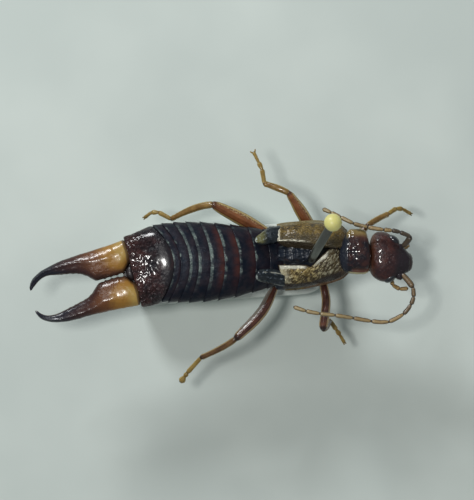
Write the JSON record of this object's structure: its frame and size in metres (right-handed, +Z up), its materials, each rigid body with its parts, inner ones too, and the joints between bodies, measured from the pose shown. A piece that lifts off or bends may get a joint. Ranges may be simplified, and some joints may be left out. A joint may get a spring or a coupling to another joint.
{
  "type": "pinned earwig specimen",
  "caption": "Life-size pinned male earwig with curved forceps, spread wing cases and bent legs, held by an insect pin over a small strip of pinning foam.",
  "frame": {"origin": "a point on the underside of the foam strip, below the fifth ring of the abdomen and 0.3 mm from the strip's middle", "axes": "+X the way the head points, along the body's length; +Y towards the insect's left; +Z up, out of its back"},
  "size_m": [0.0184, 0.0115, 0.0131],
  "materials": {
    "chestnut_cuticle": "smooth, finely pitted, glossy",
    "blue_black_cuticle": "smooth, glossy",
    "olive_wing_case": "leathery, satin sheen",
    "folded_wing": "folded, leathery, satin",
    "amber_cuticle": "translucent, glossy",
    "ochre_forceps": "horny, polished",
    "feeler_brown": "fine down, matt",
    "eye_black": "finely faceted, glossy",
    "pin_head_cream": "moulded, satin",
    "pin_steel": "drawn wire, satin",
    "pale_foam": "closed-cell foam, matt"
  },
  "bodies": {
    "root": {"head": "chestnut_cuticle", "mouthparts": "chestnut_cuticle", "abdomen_segment_10": "chestnut_cuticle", "pygidium": "chestnut_cuticle", "thorax": "blue_black_cuticle", "pronotum": "blue_black_cuticle", "abdomen_segment_1": "blue_black_cuticle", "abdomen_segment_2": "blue_black_cuticle", "abdomen_segment_3": "blue_black_cuticle", "abdomen_segment_4": "blue_black_cuticle", "abdomen_segment_5": "blue_black_cuticle", "abdomen_segment_6": "blue_black_cuticle", "abdomen_segment_7": "blue_black_cuticle", "abdomen_segment_8": "blue_black_cuticle", "abdomen_segment_9": "blue_black_cuticle", "tegmen_left": "olive_wing_case", "tegmen_right": "olive_wing_case", "hindwing_left": "folded_wing", "hindwing_right": "folded_wing", "femur_left_fore": "amber_cuticle", "tibia_left_fore": "amber_cuticle", "tarsus_left_fore": "amber_cuticle", "femur_right_fore": "amber_cuticle", "tibia_right_fore": "amber_cuticle", "tarsus_right_fore": "amber_cuticle", "femur_left_mid": "amber_cuticle", "tibia_left_mid": "amber_cuticle", "tarsus_left_mid": "amber_cuticle", "femur_right_mid": "amber_cuticle", "tibia_right_mid": "amber_cuticle", "tarsus_right_mid": "amber_cuticle", "femur_left_hind": "amber_cuticle", "tibia_left_hind": "amber_cuticle", "tarsus_left_hind": "amber_cuticle", "femur_right_hind": "amber_cuticle", "tibia_right_hind": "amber_cuticle", "tarsus_right_hind": "amber_cuticle", "forceps_left": "ochre_forceps", "forceps_right": "ochre_forceps", "palp_left": "feeler_brown", "palp_right": "feeler_brown", "antenna_left_scape": "feeler_brown", "antenna_left_base": "feeler_brown", "antenna_left_middle": "feeler_brown", "antenna_left_tip": "feeler_brown", "antenna_right_scape": "feeler_brown", "antenna_right_base": "feeler_brown", "antenna_right_middle": "feeler_brown", "antenna_right_tip": "feeler_brown", "eye_left": "eye_black", "eye_right": "eye_black", "pin_head": "pin_head_cream", "pin_shaft": "pin_steel", "stand_base": "pale_foam"}
  },
  "joints": []
}
